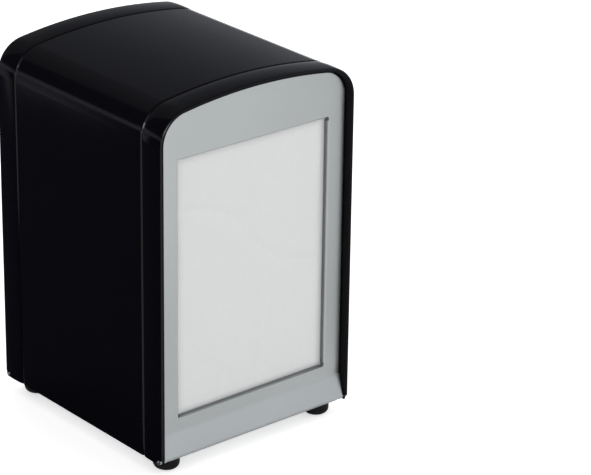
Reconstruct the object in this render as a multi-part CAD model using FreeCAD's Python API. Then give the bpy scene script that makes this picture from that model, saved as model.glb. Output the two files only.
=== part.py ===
import FreeCAD, Part
import math
import os

# A two-sided table napkin dispenser. +X runs across a face, the front face looks along -Y, +Z is up.
# The origin is on the table, under the middle of the case. All lengths are in millimetres.

# Overall sizes of the case
WIDTH = 98.0
DEPTH = 108.0
SHELL_HEIGHT = 151.3
SHELL_LIFT = 6.5
CROWN_RADIUS = 230.0
CORNER_RADIUS = 14.0

# Outer shell: one enamelled sheet with a raised band, a pressed groove and a folded hem at each end
SHELL_GAUGE = 0.75
BAND_CREST = 0.3
BAND_BEND_SHARE = 0.85
GROOVE_PLACE = 12.4
GROOVE_HALF_WIDTH = 0.8
GROOVE_DEPTH = 0.72
GROOVE_ROOT_RADIUS = 0.45
GROOVE_SHOULDER_RADIUS = 0.5
HEM_DEPTH = 8.0
HEM_GAP = 0.1
NOTCH_CLEARANCE = 0.4

# Face plate: satin sheet with a return flange, a window with a turned-in edge, and a rolled lower edge
PLATE_GAUGE = 0.55
PLATE_RECESS = 3.4
PLATE_CLEARANCE = 0.25
PLATE_FLANGE = 5.0
PLATE_BEND_RADIUS = 2.0
WINDOW_SIDE_BORDER = 9.0
WINDOW_TOP_BORDER = 22.75
WINDOW_LOW_BORDER = 5.2
WINDOW_FLANGE = 2.3
WINDOW_BEND_RADIUS = 0.75
RELIEF_RADIUS = 0.85
KICK_RISE = 11.9
KICK_BEND_RADIUS = 6.0
KICK_RUN = 0.8
WING_RISE = 3.1
WING_INSET = 0.1
KICK_SIDE_CLEARANCE = 0.5

# Hinge: a rod in two lugs of the base pan, with the plate's lower edge rolled around it
HINGE_OFFSET = 0.8
HINGE_RISE = 1.4
ROD_RADIUS = 0.9
ROD_CLEARANCE = 0.05
ROD_SEAT_CLEARANCE = 0.02
ROD_RECESS = 0.5
CURL_SWEEP = math.radians(240.0)
CURL_BENDS = 3
LUG_INSET = 4.5
LUG_THICKNESS = 1.2
LUG_SIDE_CLEARANCE = 0.3
LUG_FRONT_CLEARANCE = 0.2
LUG_HOOK_SETBACK = 0.3
LUG_TOP_RISE = 1.8
LUG_FOOT_DROP = 1.2
LUG_LENGTH = 5.4
LUG_TOE = 2.4

# Base pan: a floor with two raised rails and two side flanges
PAN_GAUGE = 0.8
PAN_RISE = 1.0
PAN_END_CLEARANCE = 0.5
PAN_FLANGE_HEIGHT = 9.0
PAN_FLANGE_END_GAP = 1.0
PAN_BEND_RADIUS = 1.4
RAIL_INSET = 25.0
RAIL_HALF_WIDTH = 4.0
RAIL_RISE = 1.8
RAIL_SHOULDER = 1.6
RAIL_BEND_RADIUS = 0.8

# Feet, with the rivet and washer that hold each one
FOOT_INSET = 9.65
FOOT_TOP_RADIUS = 5.5
FOOT_SOLE_RADIUS = 4.7
FOOT_EDGE_RADIUS = 1.2
FOOT_POCKET_RADIUS = 2.2
FOOT_POCKET_DEPTH = 3.4
RIVET_RADIUS = 1.2
RIVET_HEAD_RADIUS = 1.9
RIVET_HEAD_HEIGHT = 0.9
RIVET_CLEARANCE = 0.05
WASHER_RADIUS = 3.4
WASHER_THICKNESS = 0.4

# Centre partition: a U of sheet between the side walls, with lanced tabs that hold the springs
PARTITION_GAUGE = 0.8
PARTITION_HEADROOM = 19.8
PARTITION_FLANGE = 9.0
PARTITION_BEND_RADIUS = 1.4
TAB_COUNT = 3
TAB_WIDTH = 3.6
TAB_GAUGE = 0.6
TAB_BEND_RADIUS = 0.7
TAB_HOOK = 2.0
TAB_CLEARANCE = 0.3

# Napkins: a pack on each side, and the one napkin that shows in the window
NAPKIN_SIDE_CLEARANCE = 1.8
NAPKIN_HEADROOM = 20.7
NAPKIN_CORNER_RADIUS = 0.8
LEAD_THICKNESS = 0.6
LEAD_CLEARANCE = 0.3
PACK_CLEARANCE = 0.3

# Pusher: a tray of sheet with a pressed dish that centres the spring
PUSHER_GAUGE = 0.8
PUSHER_SIDE_MARGIN = 2.5
PUSHER_TOP_MARGIN = 8.7
PUSHER_FLANGE = 5.0
PUSHER_CORNER_RADIUS = 4.0
PUSHER_BEND_RADIUS = 1.6
PUSHER_CLEARANCE = 0.3
DISH_RADIUS = 11.2
DISH_TAPER = 1.0
DISH_DEPTH = 2.0

# Pusher spring: one conical coil of wire, pressed short behind a full pack
WIRE_RADIUS = 0.7
COIL_LARGE_RADIUS = 30.0
COIL_SMALL_RADIUS = 13.0
COIL_TURNS = 5.5
COIL_PRESSED_LENGTH = 10.9
COIL_SEAT_GAP = 0.05
COIL_STEPS_PER_TURN = 2
WIRE_SIDES = 6
COIL_END_TURNS = 0.75

# Latch spring: a leaf under the crown that rubs on the plate's top flange
LEAF_GAUGE = 0.4
LEAF_WIDTH = 14.0
LEAF_SEAT_LENGTH = 10.0
LEAF_SEAT_GAP = 0.12
LEAF_BEND_RADIUS = 1.5
LEAF_CLEARANCE = 0.3
LEAF_TIP_SETBACK = 5.0
LEAF_KNEE_SETBACK = 7.2
LEAF_HEEL_SETBACK = 14.5
LEAF_SEAT_SETBACK = 18.0
LEAF_TIP_DROP = 1.1
LEAF_HEEL_DROP = 1.0

# Working values
OVERRUN = 1.0
JOIN_LIMIT = 0.0001
SAMPLES_PER_BEND = 12
DIRECTION_STEP_SHARE = 0.001

X = FreeCAD.Vector(1, 0, 0)
Y = FreeCAD.Vector(0, 1, 0)
Z = FreeCAD.Vector(0, 0, 1)
ORIGIN = FreeCAD.Vector(0, 0, 0)

# Places that several pieces share
HALF_WIDTH = WIDTH / 2
HALF_DEPTH = DEPTH / 2
CREST_Z = SHELL_LIFT + SHELL_HEIGHT
CROWN_CENTRE_Z = CREST_Z - CROWN_RADIUS
CORNER_X = HALF_WIDTH - CORNER_RADIUS
CORNER_RISE = math.sqrt((CROWN_RADIUS - CORNER_RADIUS) ** 2 - CORNER_X**2)
CORNER_Z = CROWN_CENTRE_Z + CORNER_RISE
CORNER_ANGLE = math.atan2(CORNER_RISE, CORNER_X)

PANEL_MID = BAND_CREST + SHELL_GAUGE / 2
LEG_MID = PANEL_MID + SHELL_GAUGE + HEM_GAP
PANEL_INSIDE = BAND_CREST + SHELL_GAUGE
HEM_INSIDE = LEG_MID + SHELL_GAUGE / 2

PLATE_INSET = HEM_INSIDE + PLATE_CLEARANCE
PLATE_FRONT_Y = -HALF_DEPTH + PLATE_RECESS
PLATE_BACK_Y = PLATE_FRONT_Y + PLATE_GAUGE
KICK_Z = SHELL_LIFT + KICK_RISE
WINDOW_Z = KICK_Z + WINDOW_LOW_BORDER
WINDOW_TOP_Z = CREST_Z - PLATE_INSET - WINDOW_TOP_BORDER
WINDOW_WIDTH = WIDTH - 2 * (PLATE_INSET + WINDOW_SIDE_BORDER)
WINDOW_HEIGHT = WINDOW_TOP_Z - WINDOW_Z

CURL_INSIDE = ROD_RADIUS + ROD_CLEARANCE
CURL_OUTSIDE = CURL_INSIDE + PLATE_GAUGE
CURL_MID = CURL_INSIDE + PLATE_GAUGE / 2
HINGE_Y = PLATE_FRONT_Y - HINGE_OFFSET
HINGE_Z = SHELL_LIFT + HINGE_RISE
LUG_PLACE = HALF_WIDTH - LUG_INSET

PAN_Z = SHELL_LIFT + PAN_RISE
FLOOR_Z = PAN_Z + PAN_GAUGE
RAIL_Z = FLOOR_Z + RAIL_RISE
RAIL_PLACE = HALF_WIDTH - RAIL_INSET
PAN_HALF_LENGTH = -(HINGE_Y + CURL_OUTSIDE + PAN_END_CLEARANCE)

LEAD_FRONT_Y = PLATE_FRONT_Y + WINDOW_FLANGE + LEAD_CLEARANCE
PACK_FRONT_Y = LEAD_FRONT_Y + LEAD_THICKNESS
PARTITION_FACE_Y = -PARTITION_GAUGE / 2
PARTITION_TOP = CREST_Z - PARTITION_HEADROOM
PUSHER_BACK_Y = PARTITION_FACE_Y - COIL_PRESSED_LENGTH
PUSHER_FRONT_Y = PUSHER_BACK_Y - PUSHER_GAUGE
PACK_THICKNESS = PUSHER_FRONT_Y - PACK_CLEARANCE - PACK_FRONT_Y
NAPKIN_WIDTH = WIDTH - 2 * (PLATE_INSET + PLATE_GAUGE + NAPKIN_SIDE_CLEARANCE)
NAPKIN_HEIGHT = CREST_Z - NAPKIN_HEADROOM - RAIL_Z
PUSHER_Z = RAIL_Z + PUSHER_CLEARANCE
PUSHER_WIDTH = NAPKIN_WIDTH - 2 * PUSHER_SIDE_MARGIN
PUSHER_HEIGHT = NAPKIN_HEIGHT - PUSHER_TOP_MARGIN - PUSHER_CLEARANCE
SPRING_Z = PUSHER_Z + PUSHER_HEIGHT / 2


def vec(x, y, z):
    return FreeCAD.Vector(x, y, z)


def flat(u, v):
    return FreeCAD.Vector(u, v, 0)


def save(name, shape):
    """Writes one sub-part and prints what it is."""
    shape.exportStep("parts/" + name + ".step")
    print(name, "solids", len(shape.Solids), "volume", round(shape.Volume, 1), "valid", shape.isValid())


def turned(shape):
    """The same piece at the rear end of the case."""
    return shape.copy().rotate(ORIGIN, Z, 180)


def placed(shape, origin, u, v):
    """A flat shape set in space, with its own axes along u and v."""
    w = u.cross(v)
    matrix = FreeCAD.Matrix(u.x, v.x, w.x, origin.x, u.y, v.y, w.y, origin.y, u.z, v.z, w.z, origin.z)
    moved = shape.copy()
    moved.Placement = FreeCAD.Placement(matrix)
    return moved


def bent_path(points, radii):
    """Straight runs joined by tangent bends, one bend radius for each point between the ends."""
    path = []
    here = points[0]
    for before_point, corner, after_point, radius in zip(points, points[1:], points[2:], radii):
        before = (corner - before_point).normalize()
        after = (after_point - corner).normalize()
        reach = radius * math.tan(before.getAngle(after) / 2)
        start = corner - before * reach
        end = corner + after * reach
        side = math.copysign(1, before.cross(after).z)
        centre = start + flat(-before.y, before.x) * (side * radius)
        path.append(("run", here, start, None, None))
        path.append(("bend", start, end, centre, side))
        here = end
    path.append(("run", here, points[-1], None, None))
    return path


def side_edges(path, offset):
    """The edges of a path moved to its left by offset."""
    edges = []
    for kind, start, end, centre, side in path:
        if kind == "bend":
            radius = (start - centre).Length
            scale = (radius - side * offset) / radius
            middle = ((start - centre) + (end - centre)).normalize() * (radius - side * offset)
            edges.append(
                Part.Arc(
                    centre + (start - centre) * scale,
                    centre + middle,
                    centre + (end - centre) * scale,
                ).toShape()
            )
        elif (end - start).Length > JOIN_LIMIT:
            along = (end - start).normalize()
            shift = flat(-along.y, along.x) * offset
            edges.append(Part.LineSegment(start + shift, end + shift).toShape())
    return edges


def sheet_section(points, radii, gauge):
    """The flat section of a bent sheet whose middle line runs through the points."""
    path = bent_path(points, radii)
    left = side_edges(path, gauge / 2)
    right = side_edges(path, -gauge / 2)
    left_start, left_end = left[0].firstVertex().Point, left[-1].lastVertex().Point
    right_start, right_end = right[0].firstVertex().Point, right[-1].lastVertex().Point
    end_cap = Part.LineSegment(left_end, right_end).toShape()
    start_cap = Part.LineSegment(right_start, left_start).toShape()
    return Part.Face(Part.Wire(left + [end_cap] + right[::-1] + [start_cap]))


def section_of(corners, gauge):
    """The section of a sheet given as pairs of a corner and its bend radius."""
    points = [point for point, _ in corners]
    radii = [radius for _, radius in corners[1:-1]]
    return sheet_section(points, radii, gauge)


def polygon_face(points):
    return Part.Face(Part.makePolygon(points + points[:1]))


def block(low, high):
    """A box between two corners."""
    size = high - low
    return Part.makeBox(size.x, size.y, size.z, low)


def rod(centre, axis, radius, length):
    return Part.makeCylinder(radius, length, centre, axis)


def outline_wire(inset, bottom_z, y):
    """The case's end outline, moved inwards: two sides, two corner arcs and the crown."""
    half = HALF_WIDTH - inset
    corner = CORNER_RADIUS - inset
    crown = CROWN_RADIUS - inset
    middle_angle = CORNER_ANGLE / 2

    def on_corner(side, angle):
        return vec(side * (CORNER_X + corner * math.cos(angle)), y, CORNER_Z + corner * math.sin(angle))

    right = [vec(half, y, bottom_z), on_corner(1, 0), on_corner(1, middle_angle), on_corner(1, CORNER_ANGLE)]
    left = [vec(-p.x, p.y, p.z) for p in right]
    top = vec(0, y, CROWN_CENTRE_Z + crown)
    edges = [
        Part.LineSegment(right[0], right[1]),
        Part.Arc(right[1], right[2], right[3]),
        Part.Arc(right[3], top, left[3]),
        Part.Arc(left[3], left[2], left[1]),
        Part.LineSegment(left[1], left[0]),
        Part.LineSegment(left[0], right[0]),
    ]
    return Part.Wire([edge.toShape() for edge in edges])


# Outer shell

def shell_section():
    """The sheet's section from the front hem to the rear one: inward distance, then place along Y."""
    shoulder = GROOVE_PLACE - GROOVE_HALF_WIDTH
    crest_place = (SHELL_GAUGE / 2 + shoulder) / 2
    crest_rise = BAND_CREST / (1 - BAND_BEND_SHARE / 2)
    run = shoulder - crest_place
    band_radius = BAND_BEND_SHARE * run / (crest_rise / run)
    nose_radius = (SHELL_GAUGE + HEM_GAP) / 2
    half = [
        (LEG_MID, HEM_DEPTH, None),
        (LEG_MID, SHELL_GAUGE / 2, nose_radius),
        (PANEL_MID, SHELL_GAUGE / 2, nose_radius),
        (PANEL_MID - crest_rise, crest_place, band_radius),
        (PANEL_MID, shoulder, GROOVE_SHOULDER_RADIUS),
        (PANEL_MID + GROOVE_DEPTH, GROOVE_PLACE, GROOVE_ROOT_RADIUS),
        (PANEL_MID, GROOVE_PLACE + GROOVE_HALF_WIDTH, GROOVE_SHOULDER_RADIUS),
    ]
    front = [(flat(inward, place - HALF_DEPTH), radius) for inward, place, radius in half]
    rear = [(flat(point.x, -point.y), radius) for point, radius in front[::-1]]
    whole = front + rear
    return section_of(whole, SHELL_GAUGE)


def outer_shell():
    section = shell_section()
    wall_foot = placed(section, vec(HALF_WIDTH, 0, SHELL_LIFT), -X, Y)
    wall = wall_foot.extrude(Z * (CORNER_Z - SHELL_LIFT))
    wall_head = placed(section, vec(HALF_WIDTH, 0, CORNER_Z), -X, Y)
    corner_angle = math.degrees(CORNER_ANGLE)
    corner = wall_head.revolve(vec(CORNER_X, 0, CORNER_Z), -Y, corner_angle)
    crown_start = wall_head.copy().rotate(vec(CORNER_X, 0, CORNER_Z), -Y, corner_angle)
    crown = crown_start.revolve(vec(0, 0, CROWN_CENTRE_Z), -Y, 2 * (90 - corner_angle))
    side = wall.fuse(corner)
    shell = crown.fuse([side, side.mirror(ORIGIN, X)]).removeSplitter()
    notch_radius = CURL_OUTSIDE + NOTCH_CLEARANCE
    reach = HALF_WIDTH + OVERRUN
    under = block(
        vec(-reach, -HALF_DEPTH - OVERRUN, SHELL_LIFT - OVERRUN),
        vec(reach, HINGE_Y, HINGE_Z + notch_radius),
    )
    under = under.fuse(rod(vec(-reach, HINGE_Y, HINGE_Z), X, notch_radius, 2 * reach))
    return shell.cut([under, turned(under)])


# Face plate

def curl_points(from_point):
    """Bend points of the rolled edge: down from from_point, then around the hinge rod."""
    centre = flat(HINGE_Y, HINGE_Z)
    away = centre - from_point
    lean = math.asin(CURL_MID / away.Length)
    down = math.atan2(away.y, away.x) - lean
    step = CURL_SWEEP / CURL_BENDS
    reach = CURL_MID / math.cos(step / 2)
    first = down - math.pi / 2 + step / 2
    points = []
    for n in range(CURL_BENDS):
        angle = first + n * step
        points.append(centre + flat(math.cos(angle), math.sin(angle)) * reach)
    last = down - math.pi / 2 + CURL_SWEEP
    points.append(centre + flat(math.cos(last), math.sin(last)) * CURL_MID)
    return points


def window_edge(length, half_opening, u, v, centre):
    """One side of the window's turned-in edge, with its bend."""
    zone = WINDOW_BEND_RADIUS + PLATE_GAUGE
    middle_y = PLATE_FRONT_Y + PLATE_GAUGE / 2
    points = [
        flat(half_opening + zone, middle_y),
        flat(half_opening + PLATE_GAUGE / 2, middle_y),
        flat(half_opening + PLATE_GAUGE / 2, PLATE_FRONT_Y + WINDOW_FLANGE),
    ]
    section = sheet_section(points, [WINDOW_BEND_RADIUS], PLATE_GAUGE)
    along = u.cross(v)
    return placed(section, centre - along * (length / 2), u, v).extrude(along * length)


def face_plate():
    outer = Part.Face(outline_wire(PLATE_INSET, KICK_Z, PLATE_FRONT_Y)).extrude(Y * PLATE_FLANGE)
    inner_wire = outline_wire(PLATE_INSET + PLATE_GAUGE, KICK_Z, PLATE_BACK_Y)
    inner = Part.Face(inner_wire).extrude(Y * PLATE_FLANGE)

    def front_edges(solid, y):
        edges = []
        for edge in solid.Edges:
            box = edge.BoundBox
            in_front = box.YMax < y + JOIN_LIMIT
            lower = box.ZMax < KICK_Z + JOIN_LIMIT
            if in_front and not lower:
                edges.append(edge)
        return edges

    outer = outer.makeFillet(PLATE_BEND_RADIUS, front_edges(outer, PLATE_FRONT_Y))
    inner = inner.makeFillet(PLATE_BEND_RADIUS - PLATE_GAUGE, front_edges(inner, PLATE_BACK_Y))
    under = block(
        vec(-HALF_WIDTH, PLATE_BACK_Y, KICK_Z - OVERRUN),
        vec(HALF_WIDTH, PLATE_FRONT_Y + PLATE_FLANGE + OVERRUN, KICK_Z),
    )
    tray = outer.cut([inner, under])

    # window with a turned-in edge and a relief hole at each corner
    half_width = WINDOW_WIDTH / 2
    half_height = WINDOW_HEIGHT / 2
    centre = vec(0, 0, WINDOW_Z + half_height)
    zone = WINDOW_BEND_RADIUS + PLATE_GAUGE
    through = [PLATE_FRONT_Y - OVERRUN, PLATE_BACK_Y + OVERRUN]
    wide_edge = WINDOW_WIDTH - 2 * RELIEF_RADIUS
    tall_edge = WINDOW_HEIGHT - 2 * RELIEF_RADIUS

    def opening(across, up):
        return block(
            vec(-across, through[0], centre.z - up),
            vec(across, through[1], centre.z + up),
        )

    tray = tray.cut(
        [
            opening(half_width, half_height),
            opening(wide_edge / 2, half_height + zone),
            opening(half_width + zone, tall_edge / 2),
        ]
    )
    edges = [
        window_edge(wide_edge, half_height, Z, Y, centre),
        window_edge(wide_edge, half_height, -Z, Y, centre),
        window_edge(tall_edge, half_width, X, Y, centre),
        window_edge(tall_edge, half_width, -X, Y, centre),
    ]
    reliefs = []
    for across in (-half_width, half_width):
        for up in (-half_height, half_height):
            start = vec(across, through[0], centre.z + up)
            reliefs.append(rod(start, Y, RELIEF_RADIUS, WINDOW_FLANGE + 2 * OVERRUN))

    # kicked lower strip and the edge rolled around the rod
    strip_top = KICK_Z + KICK_BEND_RADIUS
    middle_y = PLATE_FRONT_Y + PLATE_GAUGE / 2
    kink = flat(middle_y, KICK_Z - KICK_RUN)
    points = [flat(middle_y, KICK_Z), kink] + curl_points(kink)
    radii = [KICK_BEND_RADIUS] + [CURL_MID] * CURL_BENDS
    section = sheet_section(points, radii, PLATE_GAUGE)
    wing_reach = HALF_WIDTH - WING_INSET
    strip = placed(section, vec(-wing_reach, 0, 0), Y, Z).extrude(X * (2 * wing_reach))
    strip_reach = HALF_WIDTH - HEM_INSIDE - KICK_SIDE_CLEARANCE
    wing_top = SHELL_LIFT + WING_RISE
    trims = []
    for side in (-1, 1):
        near = side * strip_reach
        far = side * (HALF_WIDTH + OVERRUN)
        trims.append(
            block(
                vec(min(near, far), -HALF_DEPTH - OVERRUN, wing_top),
                vec(max(near, far), HINGE_Y + PLATE_FLANGE, strip_top),
            )
        )
    slot_half = LUG_THICKNESS / 2 + LUG_SIDE_CLEARANCE
    slot_top = HINGE_Z + CURL_OUTSIDE + OVERRUN / 2
    for place in (-LUG_PLACE, LUG_PLACE):
        behind = HINGE_Y - CURL_INSIDE
        trims.append(
            block(
                vec(place - slot_half, -HALF_DEPTH - OVERRUN, SHELL_LIFT - OVERRUN),
                vec(place + slot_half, HINGE_Y + CURL_OUTSIDE + OVERRUN, HINGE_Z),
            )
        )
        trims.append(
            block(
                vec(place - slot_half, behind, HINGE_Z - OVERRUN),
                vec(place + slot_half, HINGE_Y + CURL_OUTSIDE + OVERRUN, slot_top),
            )
        )
    strip = strip.cut(trims)
    plate = tray.fuse(edges + [strip]).removeSplitter()
    return plate.cut(reliefs)


# Base pan

def hinge_lug():
    """A lug's outline in Y and Z: a hook over the rod, open below and in front."""
    lean = (CURL_OUTSIDE - HINGE_OFFSET) / (KICK_RISE - HINGE_RISE)
    front = HINGE_Y - CURL_INSIDE + LUG_FRONT_CLEARANCE
    top = HINGE_Z + LUG_TOP_RISE
    rear = HINGE_Y + LUG_LENGTH
    hook = HINGE_Y + LUG_HOOK_SETBACK
    bottom = HINGE_Z - LUG_FOOT_DROP
    points = [
        vec(0, HINGE_Y + LUG_TOE, bottom),
        vec(0, hook, bottom),
        vec(0, hook, HINGE_Z),
        vec(0, front, HINGE_Z),
        vec(0, front + lean * LUG_TOP_RISE, top),
        vec(0, HINGE_Y + LUG_TOE, top),
        vec(0, rear, FLOOR_Z),
        vec(0, rear, PAN_Z),
        vec(0, HINGE_Y + LUG_TOE, PAN_Z),
    ]
    lug = polygon_face(points).extrude(X * LUG_THICKNESS)
    lug.translate(X * (-LUG_THICKNESS / 2))
    seat = rod(vec(-LUG_THICKNESS, HINGE_Y, HINGE_Z), X, ROD_RADIUS + ROD_SEAT_CLEARANCE, 2 * LUG_THICKNESS)
    return lug.cut(seat)


def foot_places():
    across = HALF_WIDTH - FOOT_INSET
    along = HALF_DEPTH - FOOT_INSET
    return {
        "foot_front_left": vec(-across, -along, 0),
        "foot_front_right": vec(across, -along, 0),
        "foot_rear_left": vec(-across, along, 0),
        "foot_rear_right": vec(across, along, 0),
    }


def base_pan():
    middle_z = PAN_Z + PAN_GAUGE / 2
    wall_x = HALF_WIDTH - PANEL_INSIDE - PAN_GAUGE / 2
    rail_inner = RAIL_PLACE - RAIL_HALF_WIDTH
    rail_outer = RAIL_PLACE + RAIL_HALF_WIDTH
    half = [
        (flat(wall_x, middle_z + PAN_FLANGE_HEIGHT), None),
        (flat(wall_x, middle_z), PAN_BEND_RADIUS),
        (flat(rail_outer + RAIL_SHOULDER, middle_z), RAIL_BEND_RADIUS),
        (flat(rail_outer, middle_z + RAIL_RISE), RAIL_BEND_RADIUS),
        (flat(rail_inner, middle_z + RAIL_RISE), RAIL_BEND_RADIUS),
        (flat(rail_inner - RAIL_SHOULDER, middle_z), RAIL_BEND_RADIUS),
    ]
    whole = half + [(flat(-point.x, point.y), radius) for point, radius in half[::-1]]
    section = section_of(whole, PAN_GAUGE)
    pan = placed(section, vec(0, PAN_HALF_LENGTH, 0), X, Z).extrude(-Y * (2 * PAN_HALF_LENGTH))
    flange_end = HALF_DEPTH - GROOVE_PLACE - GROOVE_HALF_WIDTH - PAN_FLANGE_END_GAP
    floor_end = HALF_WIDTH - HEM_INSIDE - PLATE_CLEARANCE
    trims = []
    for side in (-1, 1):
        near = side * floor_end
        far = side * (HALF_WIDTH + OVERRUN)
        trims.append(
            block(
                vec(min(near, far), -PAN_HALF_LENGTH - OVERRUN, SHELL_LIFT),
                vec(max(near, far), -flange_end, FLOOR_Z + PAN_FLANGE_HEIGHT + OVERRUN),
            )
        )
        trims.append(turned(trims[-1]))
        raised = block(
            vec(-HALF_WIDTH, -PAN_HALF_LENGTH - OVERRUN, FLOOR_Z + RAIL_RISE + OVERRUN),
            vec(HALF_WIDTH, -flange_end, FLOOR_Z + PAN_FLANGE_HEIGHT + OVERRUN),
        )
        trims.append(raised)
        trims.append(turned(raised))
    for place in foot_places().values():
        start = vec(place.x, place.y, SHELL_LIFT)
        trims.append(rod(start, Z, RIVET_RADIUS + RIVET_CLEARANCE, PAN_RISE + 2 * PAN_GAUGE))
    pan = pan.cut(trims)
    lug = hinge_lug()
    lugs = []
    for place in (-LUG_PLACE, LUG_PLACE):
        moved = lug.copy()
        moved.translate(X * place)
        lugs.append(moved)
        lugs.append(turned(moved))
    return pan.fuse(lugs).removeSplitter()


def hinge_rod():
    length = WIDTH - 2 * (WING_INSET + ROD_RECESS)
    return rod(vec(-length / 2, HINGE_Y, HINGE_Z), X, ROD_RADIUS, length)


# Feet

def foot(place):
    """A tapered rubber foot with a pocket in its sole for the rivet's head."""
    sole = FOOT_SOLE_RADIUS
    points = [
        vec(0, 0, 0),
        vec(sole, 0, 0),
        vec(FOOT_TOP_RADIUS, 0, PAN_Z),
        vec(0, 0, PAN_Z),
    ]
    body = polygon_face(points).revolve(ORIGIN, Z, 360)
    rim = [edge for edge in body.Edges if edge.BoundBox.ZMax < JOIN_LIMIT and len(edge.Vertexes) == 1]
    body = body.makeFillet(FOOT_EDGE_RADIUS, rim)
    hole = rod(vec(0, 0, -OVERRUN), Z, RIVET_RADIUS + RIVET_CLEARANCE, PAN_Z + 2 * OVERRUN)
    pocket = rod(vec(0, 0, -OVERRUN), Z, FOOT_POCKET_RADIUS, FOOT_POCKET_DEPTH + OVERRUN)
    body = body.cut([hole, pocket])
    body.translate(place)
    return body


def foot_rivet(place):
    """A rivet with its head in the foot's pocket and its closed end on the washer."""
    washer_top = FLOOR_Z + WASHER_THICKNESS
    shank = rod(vec(0, 0, FOOT_POCKET_DEPTH), Z, RIVET_RADIUS, washer_top - FOOT_POCKET_DEPTH)
    head = rod(vec(0, 0, FOOT_POCKET_DEPTH - RIVET_HEAD_HEIGHT), Z, RIVET_HEAD_RADIUS, RIVET_HEAD_HEIGHT)
    low_rim = [e for e in head.Edges if e.BoundBox.ZMax < FOOT_POCKET_DEPTH - RIVET_HEAD_HEIGHT + JOIN_LIMIT]
    head = head.makeChamfer(RIVET_HEAD_HEIGHT / 2, low_rim)
    upset = rod(vec(0, 0, washer_top), Z, RIVET_HEAD_RADIUS, RIVET_HEAD_HEIGHT)
    high_rim = [e for e in upset.Edges if e.BoundBox.ZMin > washer_top + RIVET_HEAD_HEIGHT - JOIN_LIMIT]
    upset = upset.makeChamfer(RIVET_HEAD_HEIGHT / 2, high_rim)
    rivet = shank.fuse([head, upset]).removeSplitter()
    rivet.translate(place)
    return rivet


def foot_washer(place):
    ring = rod(vec(0, 0, FLOOR_Z), Z, WASHER_RADIUS, WASHER_THICKNESS)
    below = vec(0, 0, FLOOR_Z - OVERRUN)
    ring = ring.cut(rod(below, Z, RIVET_RADIUS + RIVET_CLEARANCE, WASHER_THICKNESS + 2 * OVERRUN))
    ring.translate(place)
    return ring


# Centre partition

def spring_tab():
    """A lanced tab that hooks over the spring's outer turn, for the front side, at the top of the coil."""
    stand = 2 * WIRE_RADIUS + TAB_CLEARANCE + TAB_GAUGE / 2
    outside = COIL_LARGE_RADIUS + WIRE_RADIUS + TAB_CLEARANCE + TAB_GAUGE / 2
    points = [
        flat(0, outside),
        flat(PARTITION_FACE_Y - stand, outside),
        flat(PARTITION_FACE_Y - stand, outside - TAB_HOOK),
    ]
    section = sheet_section(points, [TAB_BEND_RADIUS], TAB_GAUGE)
    return placed(section, vec(-TAB_WIDTH / 2, 0, SPRING_Z), Y, Z).extrude(X * TAB_WIDTH)


def centre_partition():
    wall_x = HALF_WIDTH - PANEL_INSIDE - PARTITION_GAUGE / 2
    points = [
        flat(-wall_x, PARTITION_FLANGE),
        flat(-wall_x, 0),
        flat(wall_x, 0),
        flat(wall_x, PARTITION_FLANGE),
    ]
    section = sheet_section(points, [PARTITION_BEND_RADIUS] * 2, PARTITION_GAUGE)
    section.translate(Z * RAIL_Z)
    wall = section.extrude(Z * (PARTITION_TOP - RAIL_Z))
    pan_flange = block(
        vec(-HALF_WIDTH, -HALF_DEPTH, SHELL_LIFT),
        vec(HALF_WIDTH, HALF_DEPTH, PAN_Z + PAN_GAUGE / 2 + PAN_FLANGE_HEIGHT),
    )
    narrow = wall_x - PAN_GAUGE - PARTITION_GAUGE / 2
    keep = block(vec(-narrow, -HALF_DEPTH, SHELL_LIFT), vec(narrow, HALF_DEPTH, PARTITION_TOP))
    wall = wall.cut(pan_flange.cut(keep))
    tabs = []
    for n in range(TAB_COUNT):
        tab = spring_tab().rotate(vec(0, 0, SPRING_Z), Y, n * 360 / TAB_COUNT)
        tabs.append(tab)
        opposite = turned(tab).rotate(vec(0, 0, SPRING_Z), Y, 180 / TAB_COUNT)
        tabs.append(opposite)
    return wall.fuse(tabs).removeSplitter()


# Latch spring

def latch_spring():
    """A leaf welded under the crown, with a knee just under the plate's top flange."""
    seat_z = CREST_Z - PANEL_INSIDE - LEAF_SEAT_GAP - LEAF_GAUGE / 2
    flange_under = CREST_Z - PLATE_INSET - PLATE_GAUGE
    knee_z = flange_under - LEAF_CLEARANCE - LEAF_GAUGE / 2
    points = [
        flat(LEAF_SEAT_SETBACK + LEAF_SEAT_LENGTH - HALF_DEPTH, seat_z),
        flat(LEAF_SEAT_SETBACK - HALF_DEPTH, seat_z),
        flat(LEAF_HEEL_SETBACK - HALF_DEPTH, knee_z - LEAF_HEEL_DROP),
        flat(LEAF_KNEE_SETBACK - HALF_DEPTH, knee_z),
        flat(LEAF_TIP_SETBACK - HALF_DEPTH, knee_z - LEAF_TIP_DROP),
    ]
    section = sheet_section(points, [LEAF_BEND_RADIUS] * 3, LEAF_GAUGE)
    return placed(section, vec(-LEAF_WIDTH / 2, 0, 0), Y, Z).extrude(X * LEAF_WIDTH)


# Napkins

def napkin_block(front_y, thickness):
    """Folded napkins standing on the rails, their corners a little rounded."""
    low = vec(-NAPKIN_WIDTH / 2, front_y, RAIL_Z)
    stack = block(low, low + vec(NAPKIN_WIDTH, thickness, NAPKIN_HEIGHT))
    corners = [edge for edge in stack.Edges if edge.BoundBox.YLength > thickness - JOIN_LIMIT]
    return stack.makeFillet(NAPKIN_CORNER_RADIUS, corners)


# Pusher

def rounded_panel(half_width, low_z, high_z, radius, y, depth):
    panel = block(vec(-half_width, y, low_z), vec(half_width, y + depth, high_z))
    corners = [edge for edge in panel.Edges if edge.BoundBox.YLength > depth - JOIN_LIMIT]
    return panel.makeFillet(radius, corners)


def front_rim(solid, y):
    return [edge for edge in solid.Edges if edge.BoundBox.YMax < y + JOIN_LIMIT]


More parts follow.
